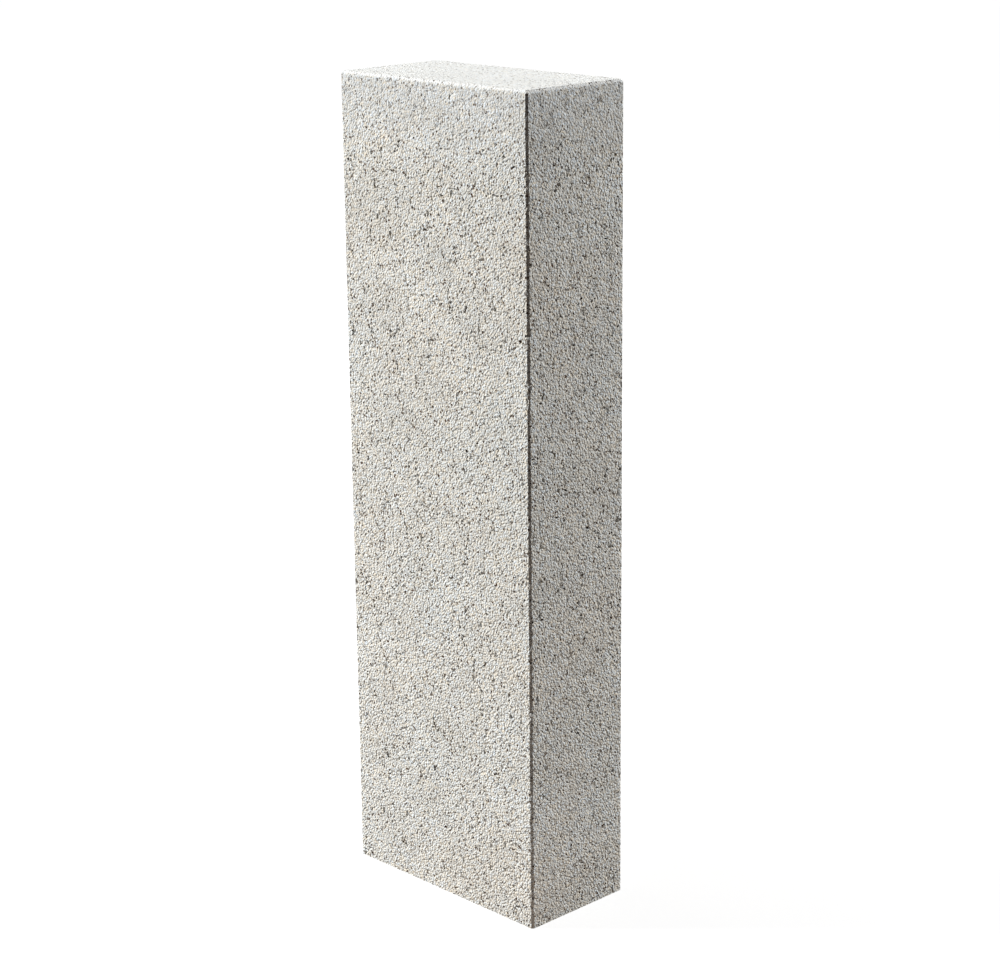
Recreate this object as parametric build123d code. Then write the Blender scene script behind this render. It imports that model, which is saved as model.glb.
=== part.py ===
from build123d import *
import os

# A rectangular garden palisade: one block of dry-pressed concrete, standing upright on its base.
# Lengths are in millimetres. The origin is the centre of the base, +X runs along the wide face,
# +Y from the front face to the back face, and +Z up the block.

# Overall size of the block, face to face
WIDTH = 250.0
DEPTH = 125.0
HEIGHT = 800.0

# Bevel that the rim of the press plate leaves round the head, measured along each face
HEAD_CHAMFER = 3.0

# Bevel down each upright edge, left by the fillet strips in the corners of the mould
ARRIS_CHAMFER = 2.0


def mould_shaft() -> Part:
    """The block as the mould's walls form it: its plan with the corners cut, drawn up to full height."""
    with BuildPart() as shaft:
        with BuildSketch():
            Rectangle(WIDTH, DEPTH)
            chamfer(vertices(), ARRIS_CHAMFER)
        extrude(amount=HEIGHT)
    return shaft.part


def press_space() -> Part:
    """The space under the press plate: sharp upright corners, and a bevel whose ends meet in mitres."""
    with BuildPart() as space:
        with BuildSketch():
            Rectangle(WIDTH, DEPTH)
        extrude(amount=HEIGHT)
        head = faces().sort_by(Axis.Z)[-1]
        chamfer(head.edges(), HEAD_CHAMFER)
    return space.part


def palisade() -> Part:
    """The cast block: what lies both within the mould's walls and under the press plate."""
    with BuildPart() as block:
        add(mould_shaft())
        add(press_space(), mode=Mode.INTERSECT)
    return block.part


os.makedirs("parts", exist_ok=True)
export_step(palisade(), "parts/palisade.step")
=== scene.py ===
"""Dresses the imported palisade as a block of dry-pressed concrete, with its studio, lamps and camera."""

import logging
import math
from dataclasses import dataclass
from enum import Enum

import bmesh
import bpy
import numpy as np
from mathutils import Matrix, Vector


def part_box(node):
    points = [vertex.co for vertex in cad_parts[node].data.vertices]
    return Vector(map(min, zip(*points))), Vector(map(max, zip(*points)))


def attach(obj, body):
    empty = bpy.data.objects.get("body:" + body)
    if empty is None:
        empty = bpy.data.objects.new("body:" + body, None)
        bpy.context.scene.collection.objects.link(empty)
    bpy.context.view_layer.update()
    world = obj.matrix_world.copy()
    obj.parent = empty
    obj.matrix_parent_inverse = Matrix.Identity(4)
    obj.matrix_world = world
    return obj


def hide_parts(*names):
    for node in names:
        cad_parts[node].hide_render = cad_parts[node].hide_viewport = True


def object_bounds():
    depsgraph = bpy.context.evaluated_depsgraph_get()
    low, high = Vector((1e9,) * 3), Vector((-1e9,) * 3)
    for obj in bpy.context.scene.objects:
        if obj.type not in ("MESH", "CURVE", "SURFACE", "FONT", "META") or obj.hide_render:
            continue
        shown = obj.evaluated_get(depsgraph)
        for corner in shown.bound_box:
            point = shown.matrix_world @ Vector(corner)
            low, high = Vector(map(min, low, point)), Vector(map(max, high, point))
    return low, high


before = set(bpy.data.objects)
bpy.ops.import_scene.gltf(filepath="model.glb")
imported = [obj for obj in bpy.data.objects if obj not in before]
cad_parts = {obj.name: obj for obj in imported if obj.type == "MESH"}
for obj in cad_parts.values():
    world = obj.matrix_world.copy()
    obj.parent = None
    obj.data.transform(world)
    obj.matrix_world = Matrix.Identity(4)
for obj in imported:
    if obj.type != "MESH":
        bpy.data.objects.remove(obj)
CAD_LOW, CAD_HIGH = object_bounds()

log = logging.getLogger("palisade")

MM = 0.001  # a millimetre in Blender's metres
BODY = "root"
NODE = "palisade"
# the material reads it to paint shade into the pores and the arrises' chips
PORE_LAYER = "pore_depth"  # the mesh's record of how deep its pores are, which the material reads
MIXED = 2  # which of a Mix node's outputs is its colour, as they all have the same name


def linear(hex_colour: str) -> tuple[float, float, float, float]:
    """Turns an sRGB colour into the linear one that Blender's sockets take.

    Args:
        hex_colour: six hexadecimal digits, red first.

    Returns:
        Linear red, green and blue, with an alpha of 1.
    """
    shares = [int(hex_colour[i:i + 2], 16) / 255 for i in (0, 2, 4)]
    red, green, blue = (s / 12.92 if s <= 0.04045 else ((s + 0.055) / 1.055) ** 2.4 for s in shares)
    return red, green, blue, 1.0


def add_node(tree: bpy.types.NodeTree, kind: str, links: dict | None = None, **settings) -> bpy.types.Node:
    """Adds a node with its settings and the links into it.

    Args:
        tree: the node tree that gets the node.
        kind: the node's type, such as ShaderNodeMix.
        links: what each input, by name or number, takes: an output socket, or a plain value.
        **settings: the node's own properties.

    Returns:
        The new node.
    """
    node = tree.nodes.new(kind)
    for name, value in settings.items():
        setattr(node, name, value)
    for name, source in (links or {}).items():
        socket = node.inputs[name]
        if isinstance(source, bpy.types.NodeSocket):
            tree.links.new(source, socket)
        else:
            socket.default_value = source
    return node


def new_material(name: str) -> tuple[bpy.types.Material, bpy.types.NodeTree, bpy.types.Node]:
    """Starts a material with nothing but its output.

    Args:
        name: what the material is called.

    Returns:
        The material, its node tree and its output node.
    """
    material = bpy.data.materials.new(name)
    material.use_nodes = True
    tree = material.node_tree
    tree.nodes.clear()
    return material, tree, tree.nodes.new("ShaderNodeOutputMaterial")


@dataclass(frozen=True)
class Tint:
    """A colour that chance gives to some of the grains."""

    colour: str
    channel: str  # which of a cell's three chances picks the grains
    start: float  # the chance from which the colour shows
    full: float  # and from which it shows as much as it ever does
    most: float  # how much that is


@dataclass(frozen=True)
class Pattern:
    """What the surface is made of: the outputs that its colour and its relief share."""

    place: bpy.types.NodeSocket  # where the point is on the block, in millimetres
    grain: bpy.types.Node  # one cell for each coarse grain
    sand: bpy.types.Node  # one cell for each grain of sand
    gap: bpy.types.NodeSocket  # 1 in the gaps between grains
    hole: bpy.types.NodeSocket  # 1 in the holes that lost grains leave
    climb: bpy.types.NodeSocket  # 0 at the foot, 1 where the well-pressed band starts
    pressed: bpy.types.NodeSocket  # 0 there, 1 where the plate's skin starts
    head: bpy.types.NodeSocket  # 1 on the skin that the press plate leaves


@dataclass(frozen=True)
class DryPressedConcrete:
    """No-slump concrete of sand and fine gravel, tamped into a mould and stripped at once.

    The mould's walls drag the skin open as they leave it. So the sides show flat-topped grains, cool grey
    or beige, with gaps between them and holes where a grain has gone. Shade is painted into the gaps, holes,
    pores and chips, dark brown, and warm and a little dark at the foot of each grain. The mix is pressed
    hardest under the plate, so the sides are calmer and cooler there; they are also painted darker towards
    the head as shade, where the lamps light them more. The plate trowels the head nearly smooth and draws
    pale laitance to it, with a paler painted highlight round its bevel. Lengths are in millimetres.
    """

    paste: str = "e3e5e3"
    damp_paste: str = "b9b8b3"
    # painted shade, warm and a little dark, at the foot of each grain's slope
    flank_shade: str = "d8d1c5"
    # painted shade, dark brown, for the gaps, holes, pores and chips
    shaded_hollow: str = "4a3320"
    coarse_tints: tuple[Tint, ...] = (
        Tint("d9e5f0", "Red", 0.55, 0.95, 0.8),
        Tint("e6d2b0", "Green", 0.6, 0.95, 0.6),
    )
    sand_tints: tuple[Tint, ...] = (
        Tint("d9e5f0", "Red", 0.5, 1.0, 0.7),
        Tint("e6d2b0", "Green", 0.6, 1.0, 0.6),
        Tint("bcbcba", "Blue", 0.7, 1.0, 0.8),
    )
    roughness: float = 0.92
    specular: float = 0.3

    # Tones that the sides are multiplied by: slow warm and cool patches, and painted shade that darkens them
    # towards the head, where the lamps light them more
    tone_warm: str = "fdfdfb"
    tone_cool: str = "fbfeff"
    # painted shade: the sides a shade darker high up, where the lamps are nearer
    painted_shade_high: str = "ebebeb"
    # cooler, and darker as painted shade, in the well-pressed band under the head
    head_band_tone_and_shade: str = "e2e5e8"
    tone_patch: float = 110.0  # size of a patch
    tone_low: float = 0.35  # the noise below which a patch is all cool
    tone_top: float = 0.65  # and above which it is all warm

    grain: float = 2.2  # size of a coarse grain
    sand: float = 1.3  # size of a grain of sand
    wander: float = 1.6  # the span over which the grains' outlines stray from plain cells
    wander_size: float = 2.0  # the distance over which they do so
    cloud: float = 50.0  # size of the damp patches
    damp_most: float = 0.4  # how much of the damp colour they show
    noise_low: float = 0.3  # the range that noise seldom leaves
    noise_high: float = 0.7

    # A gap starts at the brim of its grain, as a share of the grain's size from its middle
    filling: float = 5.0  # size of the spots that paste fills, which have a wider brim
    brim_low: float = 0.66
    brim_high: float = 0.9
    gap_width: float = 0.1  # in grains
    # how much painted shade the gaps get
    gap_painted_shade: float = 0.35
    gap_depth: float = 0.4

    hole_spacing: float = 4.0
    hole_radius: float = 1.2
    hole_core: float = 0.7  # the share of the radius that has the full depth
    hole_depth: float = 1.6
    hole_from: float = 0.45  # the filling noise at which holes start to open
    hole_to: float = 0.53  # and at which they are all open

    # The painted shade in the mesh's own pores and chips, by their depth as a share of the deepest that the
    # mesh records
    pore_from: float = 0.4
    pore_to: float = 0.8
    pore_painted_shade: float = 0.9

    # The shape of a grain, with distances from its middle in grains
    plateau: float = 0.1  # how far its flat top reaches
    grain_relief: float = 1.4  # how steeply it falls from there, in millimetres a grain
    # The foot of each grain's slope gets painted shade, warm and a little dark
    flank_from: float = 0.35
    flank_to: float = 0.8
    flank_most: float = 0.6  # how much of the flank's colour its foot shows
    sand_relief: float = 0.35

    # How strong the relief is at each height, and how much of the hollows' painted shade shows at the head
    relief_foot: float = 1.1
    relief_high: float = 0.8
    relief_head: float = 0.5
    pressed_open: float = 0.75
    pressed_reach: float = 75.0  # how far down the well-pressed band reaches

    top: float = 800.0  # height of the block's head
    skin: float = 2.2  # how far down the plate's smooth skin reaches
    skin_fray: float = 0.5  # how far its border is blurred, up and down
    laitance: str = "d7d8d6"
    # painted highlight: the paler rim round the head's bevel
    rim_highlight: str = "e3e4e3"
    laitance_cover: float = 0.5
    rim_from: float = 0.3  # how far down the laitance turns to the paler rim
    rim_to: float = 0.8

    def build(self) -> bpy.types.Material:
        """Builds the material's nodes.

        Returns:
            The finished material.
        """
        material, tree, output = new_material("dry-pressed concrete")
        pattern = self.lay_out(tree)
        bump = add_node(tree, "ShaderNodeBump", {"Height": self.relief(tree, pattern), "Distance": MM})
        shader = add_node(tree, "ShaderNodeBsdfPrincipled", {
            "Base Color": self.colour(tree, pattern), "Roughness": self.roughness,
            "Specular IOR Level": self.specular, "Normal": bump.outputs["Normal"],
        })
        tree.links.new(shader.outputs["BSDF"], output.inputs["Surface"])
        return material

    def lay_out(self, tree: bpy.types.NodeTree) -> Pattern:
        """Lays out the grains, gaps, holes and bands.

        Args:
            tree: the material's node tree.

        Returns:
            What the surface is made of.
        """
        coords = add_node(tree, "ShaderNodeTexCoord").outputs["Object"]
        place = add_node(tree, "ShaderNodeVectorMath", {
            0: coords, "Scale": 1 / MM,
        }, operation="SCALE").outputs["Vector"]
        stray = add_node(tree, "ShaderNodeTexNoise", {
            "Vector": place, "Scale": 1 / self.wander_size, "Detail": 1.0,
        }).outputs["Color"]
        centred = add_node(tree, "ShaderNodeVectorMath", {
            0: stray, 1: (0.5, 0.5, 0.5),
        }, operation="SUBTRACT").outputs["Vector"]
        strayed = add_node(tree, "ShaderNodeVectorMath", {
            0: centred, 1: (self.wander,) * 3, 2: place,
        }, operation="MULTIPLY_ADD").outputs["Vector"]
        grain, sand, holes = (
            add_node(tree, "ShaderNodeTexVoronoi", {"Vector": strayed, "Scale": 1 / size})
            for size in (self.grain, self.sand, self.hole_spacing)
        )
        filled = add_node(tree, "ShaderNodeTexNoise", {
            "Vector": place, "Scale": 1 / self.filling, "Detail": 1.0,
        }).outputs["Fac"]

        # A gap opens where a point is far from every grain, unless paste has filled it
        brim = add_node(tree, "ShaderNodeMapRange", {
            "Value": filled, "From Min": self.noise_low, "From Max": self.noise_high,
            "To Min": self.brim_low, "To Max": self.brim_high,
        }).outputs["Result"]
        past = add_node(tree, "ShaderNodeMath", {
            0: grain.outputs["Distance"], 1: brim,
        }, operation="SUBTRACT").outputs["Value"]
        gap = add_node(tree, "ShaderNodeMapRange", {
            "Value": past, "From Min": 0.0, "From Max": self.gap_width,
        }, interpolation_type="SMOOTHSTEP").outputs["Result"]

        # Holes come in clusters, in the spots where paste fills the gaps
        edge = self.hole_radius / self.hole_spacing
        hole = add_node(tree, "ShaderNodeMapRange", {
            "Value": holes.outputs["Distance"], "From Min": edge, "From Max": self.hole_core * edge,
        }, interpolation_type="SMOOTHSTEP").outputs["Result"]
        open_here = add_node(tree, "ShaderNodeMapRange", {
            "Value": filled, "From Min": self.hole_from, "From Max": self.hole_to,
        }).outputs["Result"]
        hole = add_node(tree, "ShaderNodeMath", {
            0: hole, 1: open_here,
        }, operation="MULTIPLY").outputs["Value"]

        # The strayed height frays the borders of the bands
        height = add_node(tree, "ShaderNodeSeparateXYZ", {"Vector": strayed}).outputs["Z"]
        skin_ends = self.top - self.skin
        band_ends = skin_ends - self.pressed_reach
        climb, pressed, head = (
            add_node(tree, "ShaderNodeMapRange", {
                "Value": height, "From Min": low, "From Max": high,
            }).outputs["Result"]
            for low, high in (
                (0.0, band_ends),
                (band_ends, skin_ends),
                (skin_ends - self.skin_fray, skin_ends + self.skin_fray),
            )
        )
        return Pattern(place, grain, sand, gap, hole, climb, pressed, head)

    def grains(self, tree: bpy.types.NodeTree, pattern: Pattern) -> bpy.types.NodeSocket:
        """Colours the paste and the grains in it, with painted shade at the foot of each grain.

        Args:
            tree: the material's node tree.
            pattern: what the surface is made of.

        Returns:
            The colour, without the sides' tones, the laitance and the hollows' painted shade.
        """
        colour = linear(self.paste)
        for cells, tints in ((pattern.grain, self.coarse_tints), (pattern.sand, self.sand_tints)):
            chances = add_node(tree, "ShaderNodeSeparateColor", {"Color": cells.outputs["Color"]}).outputs
            for tint in tints:
                amount = add_node(tree, "ShaderNodeMapRange", {
                    "Value": chances[tint.channel], "From Min": tint.start, "From Max": tint.full,
                    "To Max": tint.most,
                }).outputs["Result"]
                colour = add_node(tree, "ShaderNodeMix", {
                    "Factor": amount, "A": colour, "B": linear(tint.colour),
                }, data_type="RGBA").outputs[MIXED]

        cloud = add_node(tree, "ShaderNodeTexNoise", {
            "Vector": pattern.place, "Scale": 1 / self.cloud, "Detail": 3.0,
        }).outputs["Fac"]
        # Damp patches, and painted shade at the foot of each grain's slope
        for value, start, full, most, tint in (
            (cloud, self.noise_low, self.noise_high, self.damp_most, self.damp_paste),
            (pattern.grain.outputs["Distance"], self.flank_from, self.flank_to, self.flank_most,
             self.flank_shade),
        ):
            amount = add_node(tree, "ShaderNodeMapRange", {
                "Value": value, "From Min": start, "From Max": full, "To Max": most,
            }).outputs["Result"]
            colour = add_node(tree, "ShaderNodeMix", {
                "Factor": amount, "A": colour, "B": linear(tint),
            }, data_type="RGBA").outputs[MIXED]
        return colour

    def toned(self, tree: bpy.types.NodeTree, pattern: Pattern) -> bpy.types.NodeSocket:
        """Tones the sides' colour in patches, and cools it and paints shade on it by height.

        Args:
            tree: the material's node tree.
            pattern: what the surface is made of.

        Returns:
            The colour of the sides, without their hollows.
        """
        patch = add_node(tree, "ShaderNodeTexNoise", {
            "Vector": pattern.place, "Scale": 1 / self.tone_patch, "Detail": 2.0,
        }).outputs["Fac"]
        warmed = add_node(tree, "ShaderNodeMapRange", {
            "Value": patch, "From Min": self.tone_low, "From Max": self.tone_top,
        }).outputs["Result"]
        tone = linear(self.tone_cool)
        for amount, other, way in (
            (warmed, self.tone_warm, "MIX"),
            (pattern.climb, self.painted_shade_high, "MULTIPLY"),
            (pattern.pressed, self.head_band_tone_and_shade, "MIX"),
        ):
            tone = add_node(tree, "ShaderNodeMix", {
                "Factor": amount, "A": tone, "B": linear(other),
            }, data_type="RGBA", blend_type=way).outputs[MIXED]
        return add_node(tree, "ShaderNodeMix", {
            "Factor": 1.0, "A": self.grains(tree, pattern), "B": tone,
        }, data_type="RGBA", blend_type="MULTIPLY").outputs[MIXED]

    def colour(self, tree: bpy.types.NodeTree, pattern: Pattern) -> bpy.types.NodeSocket:
        """Colours the whole block, with the laitance and a painted highlight on its head, and painted shade
        in its hollows.

        Args:
            tree: the material's node tree.
            pattern: what the surface is made of.

        Returns:
            The colour of the surface.
        """
        # Laitance half covers the head, with a paler painted highlight round its bevel
        height = add_node(tree, "ShaderNodeSeparateXYZ", {"Vector": pattern.place}).outputs["Z"]
        down = add_node(tree, "ShaderNodeMapRange", {
            "Value": height, "From Min": self.top - self.rim_from, "From Max": self.top - self.rim_to,
        }).outputs["Result"]
        laitance_and_highlight = add_node(tree, "ShaderNodeMix", {
            "Factor": down, "A": linear(self.laitance), "B": linear(self.rim_highlight),
        }, data_type="RGBA").outputs[MIXED]
        cover = add_node(tree, "ShaderNodeMath", {
            0: pattern.head, 1: self.laitance_cover,
        }, operation="MULTIPLY").outputs["Value"]
        skin = add_node(tree, "ShaderNodeMix", {
            "Factor": cover, "A": self.toned(tree, pattern), "B": laitance_and_highlight,
        }, data_type="RGBA").outputs[MIXED]

        # Painted shade: gaps, the mesh's own pores and chips, and holes are painted dark brown inside,
        # and less so where the mix is well pressed
        depth = add_node(tree, "ShaderNodeAttribute", attribute_name=PORE_LAYER).outputs["Fac"]
        pore = add_node(tree, "ShaderNodeMapRange", {
            "Value": depth, "From Min": self.pore_from, "From Max": self.pore_to, "To Max": self.pore_painted_shade,
        }, interpolation_type="SMOOTHSTEP").outputs["Result"]
        openness = add_node(tree, "ShaderNodeMapRange", {
            "Value": pattern.pressed, "To Min": 1.0, "To Max": self.pressed_open,
        }).outputs["Result"]
        painted_shade = pattern.gap
        for other, way in (
            (self.gap_painted_shade, "MULTIPLY"),
            (pore, "MAXIMUM"),
            (pattern.hole, "MAXIMUM"),
            (openness, "MULTIPLY"),
        ):
            painted_shade = add_node(tree, "ShaderNodeMath", {0: painted_shade, 1: other}, operation=way).outputs["Value"]
        return add_node(tree, "ShaderNodeMix", {
            "Factor": painted_shade, "A": skin, "B": linear(self.shaded_hollow),
        }, data_type="RGBA").outputs[MIXED]

    def relief(self, tree: bpy.types.NodeTree, pattern: Pattern) -> bpy.types.NodeSocket:
        """Works out how high the surface stands.

        Args:
            tree: the material's node tree.
            pattern: what the surface is made of.

        Returns:
            The height at each point, in millimetres.
        """
        height = pattern.grain.outputs["Distance"]
        for value, way in (
            (self.plateau, "SUBTRACT"),
            (0.0, "MAXIMUM"),
            (-self.grain_relief, "MULTIPLY"),
        ):
            height = add_node(tree, "ShaderNodeMath", {0: height, 1: value}, operation=way).outputs["Value"]
        for shaded_hollow, depth in (
            (pattern.gap, self.gap_depth),
            (pattern.hole, self.hole_depth),
            (pattern.sand.outputs["Distance"], self.sand_relief),
        ):
            height = add_node(tree, "ShaderNodeMath", {
                0: shaded_hollow, 1: -depth, 2: height,
            }, operation="MULTIPLY_ADD").outputs["Value"]
        side = add_node(tree, "ShaderNodeMapRange", {
            "Value": pattern.climb, "To Min": self.relief_foot, "To Max": self.relief_high,
        }).outputs["Result"]
        strength = add_node(tree, "ShaderNodeMath", {
            0: pattern.pressed, 1: self.relief_head - self.relief_high, 2: side,
        }, operation="MULTIPLY_ADD").outputs["Value"]
        return add_node(tree, "ShaderNodeMath", {
            0: height, 1: strength,
        }, operation="MULTIPLY").outputs["Value"]


class Zone(Enum):
    """Which surface of the casting a point of the skin lies on."""

    WALL = 0  # formed by the mould's walls, and dragged open as it was stripped
    ARRIS = 1  # formed by the fillet strips in the mould's corners
    HEAD = 2  # formed by the press plate, nearly smooth
    BASE = 3  # formed by the pallet that the block was cast on


@dataclass
class Skin:
    """The points of the block's surface while they are moved, and where each of them lies."""

    points: np.ndarray
    normals: np.ndarray
    near: list[list[int]]  # each point's neighbours along the grid
    round_about: list[list[int]]  # each point's neighbours, those across corners too
    wall: np.ndarray
    arris: np.ndarray
    head: np.ndarray
    brink: np.ndarray  # the line where the head's bevel starts
    worn: np.ndarray  # how worn an arris is at the point's height, 1 at the foot


@dataclass
class CastBlock:
    """The palisade's block, as one closed skin with its pores, crumbled arrises and pressed head."""

    low: Vector
    high: Vector
    finish: DryPressedConcrete
    head_chamfer: float = 3.0 * MM
    arris_chamfer: float = 2.0 * MM
    cell: float = 2.65 * MM  # spacing of the skin's points
    long_edge: float = 4.0  # in cells: an edge that is longer is cut into cells
    hair: float = 0.1 * MM  # how near to a line a point counts as on it
    crease: float = 35.0  # degrees, from which an edge shows sharp
    seed: int = 7

    # How far points stray along the surface
    scatter: float = 0.42  # in cells
    border_scatter: float = 0.4  # the share of that next to a bevel or the base
    arris_scatter: float = 0.3  # and across an arris at the foot
    brink_scatter: float = 0.8  # and up or down where the head's bevel starts
    kept_straight: float = 0.75  # how much less the arrises are worn at the head than at the foot

    pore_share: float = 0.1  # share of the wall's points that are the bottoms of pores
    joined_share: float = 0.12  # share of the pores that run on into a second one
    pore_depth: float = 1.4 * MM
    pore_spread: float = 0.4  # spread of the depth's logarithm
    pressed_pores: float = 0.4  # the share of the depth that pores keep under the head
    pinch: float = 0.74  # how far a pore's neighbours are drawn in to its rim
    deepest: float = 2.0 * MM  # the depth that the mesh records as 1

    grain_wave: float = 0.1 * MM  # unevenness of the tops of the grains
    head_wave: float = 0.04  # mm, unevenness of the head
    arris_loss: float = -0.1  # mm, mean of what the arrises have lost, where less than 0 is none
    arris_spread: float = 0.25  # mm, the spread of that
    chip_share: float = 0.2  # share of an arris's points that are chipped at the foot
    chip_depth: float = 0.9 * MM
    chip_least: float = 0.3  # the shallowest chip, as a share of that
    brink_chip: float = 0.5  # a chip at the head's bevel, as a share of one at an arris

    def blank(self) -> bmesh.types.BMesh:
        """Cuts the plain block into a grid of cells, with lines where its bevels start.

        Returns:
            The block's mesh, all of quads, with sharp edges.
        """
        bm = bmesh.new()
        bmesh.ops.create_cube(bm, size=1.0)
        bmesh.ops.scale(bm, vec=self.high - self.low, verts=bm.verts)
        bmesh.ops.translate(bm, vec=(self.high + self.low) / 2, verts=bm.verts)
        for axis in range(2):
            for leg in (self.arris_chamfer, self.head_chamfer):
                for place in (self.low[axis] + leg, self.high[axis] - leg):
                    self.score(bm, axis, place)
        self.score(bm, 2, self.high.z - self.head_chamfer)
        # Only the long edges are cut, so that each strip beside a line stays one cell wide
        shortest = self.long_edge * self.cell
        for axis in range(3):
            edges = [e for e in bm.edges if abs((e.verts[1].co - e.verts[0].co)[axis]) > shortest]
            length = abs((edges[0].verts[1].co - edges[0].verts[0].co)[axis])
            cuts = round(length / self.cell) - 1
            bmesh.ops.subdivide_edges(bm, edges=edges, cuts=cuts, use_grid_fill=True)
        return bm

    def score(self, bm: bmesh.types.BMesh, axis: int, place: float) -> None:
        """Cuts a line round the block.

        Args:
            bm: the mesh that is cut.
            axis: the axis that the cutting plane stands across.
            place: where on that axis it stands.
        """
        normal = Vector([float(k == axis) for k in range(3)])
        geometry = bm.verts[:] + bm.edges[:] + bm.faces[:]
        bmesh.ops.bisect_plane(bm, geom=geometry, plane_co=normal * place, plane_no=normal)

    def planes(self) -> list[tuple[np.ndarray, float]]:
        """Finds the planes that bound the block: its bevels first, then its faces.

        Returns:
            Each plane's outward unit normal and its distance from the origin.
        """
        found = []
        half = [(self.high[k] - self.low[k]) / 2 for k in range(2)]
        for sx in (-1, 1):
            for sy in (-1, 1):
                normal = np.array([sx, sy, 0]) / math.sqrt(2)
                found.append((normal, (half[0] + half[1] - self.arris_chamfer) / math.sqrt(2)))
        for axis in range(2):
            for side in (-1, 1):
                normal = np.zeros(3)
                normal[axis], normal[2] = side, 1
                reach = half[axis] + self.high.z - self.head_chamfer
                found.append((normal / math.sqrt(2), reach / math.sqrt(2)))
        for axis in range(3):
            for side, place in ((-1, -self.low[axis]), (1, self.high[axis])):
                normal = np.zeros(3)
                normal[axis] = side
                found.append((normal, place))
        return found

    def hold_in(self, points: np.ndarray) -> np.ndarray:
        """Pushes points that lie outside the mould back onto its walls.

        Args:
            points: places, one a row.

        Returns:
            The same points, none outside any plane of the block.
        """
        held = points.copy()
        # Twice, as a push off one plane can end outside one that has had its turn
        for _ in range(2):
            for normal, reach in self.planes():
                excess = np.clip(held @ normal - reach, 0, None)
                held -= excess[:, None] * normal
        return held

    def zones(self, points: np.ndarray) -> np.ndarray:
        """Sorts the points by the surface that they lie on.

        Args:
            points: places on the plain block, one a row.

        Returns:
            Each point's zone, by its number.
        """
        inset = np.minimum(points[:, :2] - np.array(self.low[:2]), np.array(self.high[:2]) - points[:, :2])
        found = np.full(len(points), Zone.WALL.value)
        found[inset.max(1) < self.arris_chamfer + self.hair] = Zone.ARRIS.value
        found[points[:, 2] > self.high.z - self.head_chamfer - self.hair] = Zone.HEAD.value
        found[points[:, 2] < self.low.z + self.hair] = Zone.BASE.value
        return found

    def survey(self, bm: bmesh.types.BMesh, points: np.ndarray) -> Skin:
        """Notes where the points of the plain block lie.

        Args:
            bm: the block's mesh, with its normals.
            points: where its points are.

        Returns:
            The skin, before anything is moved.
        """
        zone = self.zones(points)
        wall, arris, head = (zone == kind.value for kind in (Zone.WALL, Zone.ARRIS, Zone.HEAD))
        brink = head & (points[:, 2] < self.high.z - self.head_chamfer + self.hair)
        worn = 1.0 - self.kept_straight * (points[:, 2] - self.low.z) / (self.high.z - self.low.z)
        rings = [{w.index for f in v.link_faces for w in f.verts} for v in bm.verts]
        return Skin(
            points=points,
            normals=np.array([v.normal for v in bm.verts]),
            near=[[e.other_vert(v).index for e in v.link_edges] for v in bm.verts],
            round_about=[list(ring - {v.index}) for v, ring in zip(bm.verts, rings)],
            wall=wall,
            arris=arris,
            head=head,
            brink=brink,
            worn=worn,
        )

    def stray(self, skin: Skin, rng: np.random.Generator) -> None:
        """Moves the points along the surface, so that no row of the grid shows.

        Args:
            skin: the points.
            rng: the source of chance.
        """
        shift = rng.uniform(-self.scatter, self.scatter, skin.points.shape) * self.cell
        shift -= (shift * skin.normals).sum(1)[:, None] * skin.normals
        border = [bool(on) and not all(skin.wall[ring]) for on, ring in zip(skin.wall, skin.round_about)]
        shift[np.array(border)] *= self.border_scatter
        skin.points[skin.wall] += shift[skin.wall]
        shares = (self.arris_scatter, self.arris_scatter, 1.0)
        skin.points[skin.arris] += shift[skin.arris] * skin.worn[skin.arris, None] * shares
        skin.points[skin.brink, 2] += shift[skin.brink, 2] * self.brink_scatter

    def choose_pores(self, skin: Skin, rng: np.random.Generator) -> np.ndarray:
        """Picks the bottoms of pores on the walls, apart from each other but for some joined pairs.

        Args:
            skin: the points.
            rng: the source of chance.

        Returns:
            True for each point that is a pore's bottom.
        """
        chosen = np.zeros(len(skin.wall), bool)
        blocked = ~skin.wall
        wanted = int(self.pore_share * skin.wall.sum())
        for v in rng.permutation(np.flatnonzero(skin.wall)):
            if blocked[v]:
                continue
            chosen[v] = True
            blocked[skin.round_about[v]] = True
            wanted -= 1
            if not wanted:
                break
        for v in np.flatnonzero(chosen):
            if rng.random() < self.joined_share:
                second = rng.choice(skin.near[v])
                chosen[second] = skin.wall[second]
        return chosen

    def open_pores(self, skin: Skin, pores: np.ndarray, rng: np.random.Generator) -> np.ndarray:
        """Draws the points round each pore in to its rim, and says how deep its bottom is.

        Args:
            skin: the points.
            pores: which of them are the bottoms of pores.
            rng: the source of chance.

        Returns:
            Each point's depth in a pore.
        """
        depth = np.zeros(len(pores))
        band = self.finish.pressed_reach * MM
        loose = np.clip((self.high.z - skin.points[:, 2]) / band, self.pressed_pores, 1.0)
        depth[pores] = self.pore_depth * rng.lognormal(0.0, self.pore_spread, pores.sum()) * loose[pores]
        pull = np.zeros_like(skin.points)
        count = np.zeros(len(pores))
        for v in np.flatnonzero(pores):
            for w in skin.round_about[v]:
                pull[w] += skin.points[v] - skin.points[w]
                count[w] += 1
        drawn = (count > 0) & skin.wall & ~pores
        skin.points[drawn] += self.pinch * pull[drawn] / count[drawn, None]
        return depth

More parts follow.
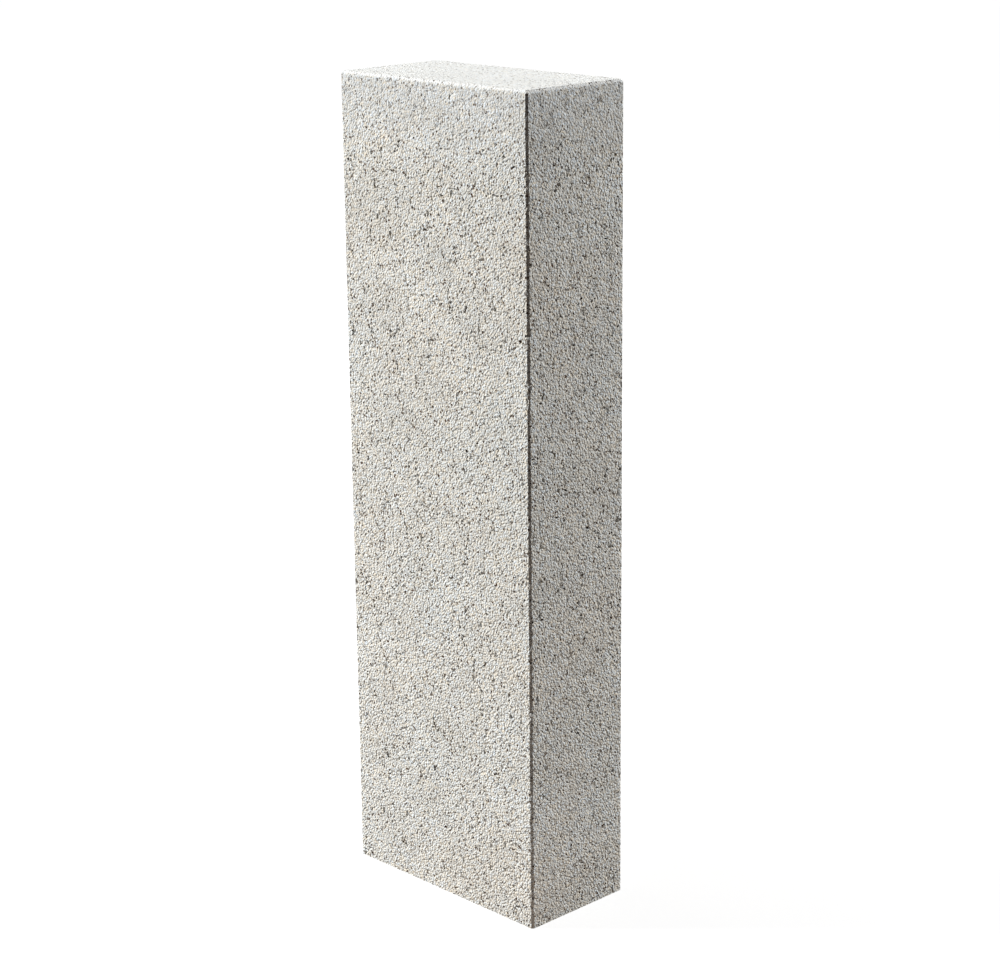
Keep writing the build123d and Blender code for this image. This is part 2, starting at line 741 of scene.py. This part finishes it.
    def wear(self, skin: Skin, pores: np.ndarray, depth: np.ndarray, rng: np.random.Generator) -> np.ndarray:
        """Sinks the pores and the loose grains, crumbles the arrises and unsettles the head.

        Args:
            skin: the points.
            pores: which of them are the bottoms of pores.
            depth: each point's depth in a pore, to which the chips' depths are added.
            rng: the source of chance.

        Returns:
            How far each point is sunk.
        """
        sunk = depth.copy()
        tops = skin.wall & ~pores
        sunk[tops] += np.clip(rng.normal(0.0, 1.0, tops.sum()) * self.grain_wave, 0, None)
        chipped = rng.random(len(sunk)) < self.chip_share * skin.worn
        loss = rng.normal(self.arris_loss, self.arris_spread, skin.arris.sum())
        sunk[skin.arris] += np.clip(loss, 0, None) * MM
        chips = skin.arris & chipped
        # A chip's depth goes into the pore record, so the material paints shade into it too
        depth[chips] = rng.uniform(self.chip_least, 1.0, chips.sum()) * self.chip_depth
        sunk[chips] += depth[chips]
        nicks = skin.brink & chipped
        sunk[nicks] += rng.uniform(self.chip_least, 1.0, nicks.sum()) * self.brink_chip * self.chip_depth
        sunk[skin.head] += np.clip(rng.normal(0.0, self.head_wave, skin.head.sum()), 0, None) * MM
        return sunk

    def place(self, bm: bmesh.types.BMesh, points: np.ndarray) -> None:
        """Puts the mesh's points where an array says.

        Args:
            bm: the mesh.
            points: the new places, in the order of the mesh's points.
        """
        for v, p in zip(bm.verts, points):
            v.co = p

    def build(self) -> bpy.types.Object:
        """Makes the block's skin and dresses it.

        Returns:
            The finished piece.
        """
        rng = np.random.default_rng(self.seed)
        bm = self.blank()
        points = self.hold_in(np.array([v.co for v in bm.verts]))
        self.place(bm, points)
        bm.normal_update()
        skin = self.survey(bm, points)
        self.stray(skin, rng)
        pores = self.choose_pores(skin, rng)
        depth = self.open_pores(skin, pores, rng)
        sunk = self.wear(skin, pores, depth, rng)
        self.place(bm, self.hold_in(skin.points - skin.normals * sunk[:, None]))

        layer = bm.verts.layers.float.new(PORE_LAYER)
        for v, share in zip(bm.verts, np.clip(depth / self.deepest, 0, 1)):
            v[layer] = share
        bmesh.ops.triangulate(bm, faces=bm.faces[:], quad_method="SHORT_EDGE")
        bmesh.ops.recalc_face_normals(bm, faces=bm.faces[:])
        mesh = bpy.data.meshes.new("palisade_block")
        bm.to_mesh(mesh)
        bm.free()
        mesh.materials.append(self.finish.build())
        mesh.shade_smooth()
        mesh.set_sharp_from_angle(angle=math.radians(self.crease))
        block = bpy.data.objects.new("palisade_block", mesh)
        bpy.context.scene.collection.objects.link(block)
        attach(block, BODY)
        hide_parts(NODE)
        return block


@dataclass(frozen=True)
class Softbox:
    """A lamp behind a sheet of diffusing cloth. Lengths are in metres and angles in degrees."""

    name: str
    bearing: float  # its direction in plan, from +X towards -Y
    height: float  # its angle above the point that it faces
    distance: float
    width: float
    tall: float
    power: float  # W

    def hang(self, target: Vector) -> bpy.types.Object:
        """Hangs the lamp.

        Args:
            target: the point that it faces.

        Returns:
            The lamp.
        """
        light = bpy.data.lights.new(self.name, "AREA")
        light.shape = "RECTANGLE"
        light.size = self.width
        light.size_y = self.tall
        light.energy = self.power
        lamp = bpy.data.objects.new(self.name, light)
        b, h = math.radians(self.bearing), math.radians(self.height)
        away = Vector((math.cos(b) * math.cos(h), -math.sin(b) * math.cos(h), math.sin(h)))
        lamp.location = target + away * self.distance
        lamp.rotation_mode = "QUATERNION"
        lamp.rotation_quaternion = away.to_track_quat("Z", "Y")
        bpy.context.scene.collection.objects.link(lamp)
        return lamp


@dataclass
class Studio:
    """The floor, the white surround and the lamps, two at the sides and a weak one overhead.

    Each side lamp stands so far round that its light grazes one face, and the near arris gets none.
    Lengths are in metres.
    """

    lamps: tuple[Softbox, ...] = (
        Softbox("key softbox", 142.0, 29.0, 5.0, 1.4, 2.2, 500.0),
        Softbox("side softbox", -61.0, 28.0, 3.6, 1.0, 1.6, 166.0),
        Softbox("top softbox", 90.0, 88.0, 3.0, 1.4, 1.4, 7.0),
    )
    aim: float = 0.3  # how high the lamps' target is, as a share of the block's height
    floor_radius: float = 14.0
    floor_sides: int = 64
    floor_near: float = 0.28  # how much light the floor throws back at the block's foot
    floor_far: float = 0.1  # and from bounce_reach on
    block_reach: float = 0.3  # how far from the middle the floor starts to change
    bounce_reach: float = 1.0
    shadow_reach: float = 1.6  # beyond this the floor shows plain white
    shadow_glow: float = 0.76  # how bright the floor shows in full shadow
    fill: float = 0.046  # how bright the block sees the surround
    fill_tint: str = "ffeee4"  # the fill and the floor's bounce are warm, so the shaded pits are brown

    def build(self) -> list[bpy.types.Object]:
        """Lays the floor, puts up the surround and hangs the lamps.

        Returns:
            The floor and the lamps.
        """
        floor = self.floor()
        self.surround()
        target = CAD_LOW.lerp(CAD_HIGH, 0.5)
        target.z = self.aim * CAD_HIGH.z
        return [floor, *(lamp.hang(target) for lamp in self.lamps)]

    def seen(self, tree: bpy.types.NodeTree) -> bpy.types.NodeSocket:
        """Tells the rays that end in the picture from those that only light the block.

        Args:
            tree: the node tree that asks.

        Returns:
            An output that is 1 for camera, mirror and see-through rays.
        """
        ray = add_node(tree, "ShaderNodeLightPath").outputs
        found = ray["Is Camera Ray"]
        for other in ("Is Glossy Ray", "Is Transmission Ray"):
            found = add_node(tree, "ShaderNodeMath", {
                0: found, 1: ray[other],
            }, operation="MAXIMUM").outputs["Value"]
        return found

    def paper(self) -> bpy.types.Material:
        """Makes the floor's material.

        White background paper, rolled and uncoated, so it has no sheen and takes only a soft shadow. To the
        camera it is neutral and glows to pure white away from the block. What it throws back at the block
        is dimmer and warm.

        Returns:
            The finished material.
        """
        material, tree, output = new_material("white paper")
        coords = add_node(tree, "ShaderNodeTexCoord").outputs["Object"]
        away = add_node(tree, "ShaderNodeVectorMath", {0: coords}, operation="LENGTH").outputs["Value"]
        glow, bounce = (
            add_node(tree, "ShaderNodeMapRange", {
                "Value": away, "From Min": self.block_reach, "From Max": reach,
                "To Min": near, "To Max": far,
            }).outputs["Result"]
            for reach, near, far in (
                (self.shadow_reach, self.shadow_glow, 1.0),
                (self.bounce_reach, self.floor_near, self.floor_far),
            )
        )
        warm = add_node(tree, "ShaderNodeMix", {
            "Factor": bounce, "A": linear("000000"), "B": linear(self.fill_tint),
        }, data_type="RGBA").outputs[MIXED]
        thrown = add_node(tree, "ShaderNodeBsdfDiffuse", {"Color": warm}).outputs["BSDF"]
        plain = add_node(tree, "ShaderNodeBsdfDiffuse", {"Color": bounce}).outputs["BSDF"]
        white = add_node(tree, "ShaderNodeEmission", {"Strength": glow}).outputs["Emission"]
        shown = add_node(tree, "ShaderNodeAddShader", {0: plain, 1: white}).outputs["Shader"]
        surface = add_node(tree, "ShaderNodeMixShader", {"Fac": self.seen(tree), 1: thrown, 2: shown})
        tree.links.new(surface.outputs["Shader"], output.inputs["Surface"])
        return material

    def floor(self) -> bpy.types.Object:
        """Lays the pale floor, which shows white but for the block's soft shadow.

        Returns:
            The floor.
        """
        bm = bmesh.new()
        bmesh.ops.create_circle(bm, cap_ends=True, radius=self.floor_radius, segments=self.floor_sides)
        mesh = bpy.data.meshes.new("floor")
        bm.to_mesh(mesh)
        bm.free()
        mesh.materials.append(self.paper())
        floor = bpy.data.objects.new("floor", mesh)
        bpy.context.scene.collection.objects.link(floor)
        return floor

    def surround(self) -> None:
        """Surrounds the scene with plain white to the camera, and with a weak warm fill to the block."""
        world = bpy.data.worlds.new("surround")
        bpy.context.scene.world = world
        world.use_nodes = True
        tree = world.node_tree
        tree.nodes.clear()
        seen = self.seen(tree)
        strength = add_node(tree, "ShaderNodeMapRange", {
            "Value": seen, "To Min": self.fill, "To Max": 1.0,
        }).outputs["Result"]
        tint = add_node(tree, "ShaderNodeMix", {
            "Factor": seen, "A": linear(self.fill_tint), "B": linear("ffffff"),
        }, data_type="RGBA").outputs[MIXED]
        sky = add_node(tree, "ShaderNodeBackground", {"Color": tint, "Strength": strength})
        add_node(tree, "ShaderNodeOutputWorld", {"Surface": sky.outputs["Background"]})


@dataclass(frozen=True)
class PhotoCamera:
    """The photograph's camera, fitted to the block's edges in its 1000 by 977 frame."""

    image_width: float = 1000.0
    focal_pixels: float = 2428.1
    azimuth: float = 46.056  # degrees, as the next two are
    elevation: float = 15.902
    roll: float = -0.612
    distance_share: float = 2.9375  # these three are shares of the block's height
    right_share: float = 0.01863
    up_share: float = 0.00286
    sensor: float = 36.0  # mm

    def build(self) -> bpy.types.Object:
        """Sets up the camera.

        Returns:
            The camera.
        """
        height = CAD_HIGH.z - CAD_LOW.z
        a, e, r = (math.radians(angle) for angle in (self.azimuth, self.elevation, self.roll))
        back = Vector((math.sin(a) * math.cos(e), -math.cos(a) * math.cos(e), math.sin(e)))
        right = Vector((math.cos(a), math.sin(a), 0.0))
        up = back.cross(right)
        place = (CAD_LOW + CAD_HIGH) / 2
        place += height * (self.distance_share * back + self.right_share * right + self.up_share * up)
        rolled_right = math.cos(r) * right + math.sin(r) * up
        rolled_up = math.cos(r) * up - math.sin(r) * right
        data = bpy.data.cameras.new("camera")
        data.sensor_width = self.sensor
        data.lens = self.focal_pixels / self.image_width * self.sensor
        camera = bpy.data.objects.new("camera", data)
        turn = Matrix((rolled_right, rolled_up, back)).transposed()
        camera.matrix_world = Matrix.Translation(place) @ turn.to_4x4()
        bpy.context.scene.collection.objects.link(camera)
        bpy.context.scene.camera = camera
        return camera


def main() -> None:
    """Builds the camera, the studio and the block, and reports each piece."""
    logging.basicConfig(level=logging.INFO, format="%(name)s: %(message)s")
    bpy.context.scene.view_settings.view_transform = "Standard"
    camera = PhotoCamera().build()
    studio = Studio().build()
    low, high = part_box(NODE)
    block = CastBlock(low, high, DryPressedConcrete(top=high.z / MM)).build()
    for piece in (camera, *studio, block):
        faces = len(piece.data.polygons) if piece.type == "MESH" else 0
        log.info("%s: %s, %d faces", piece.name, piece.type.lower(), faces)


if __name__ == "__main__":
    main()
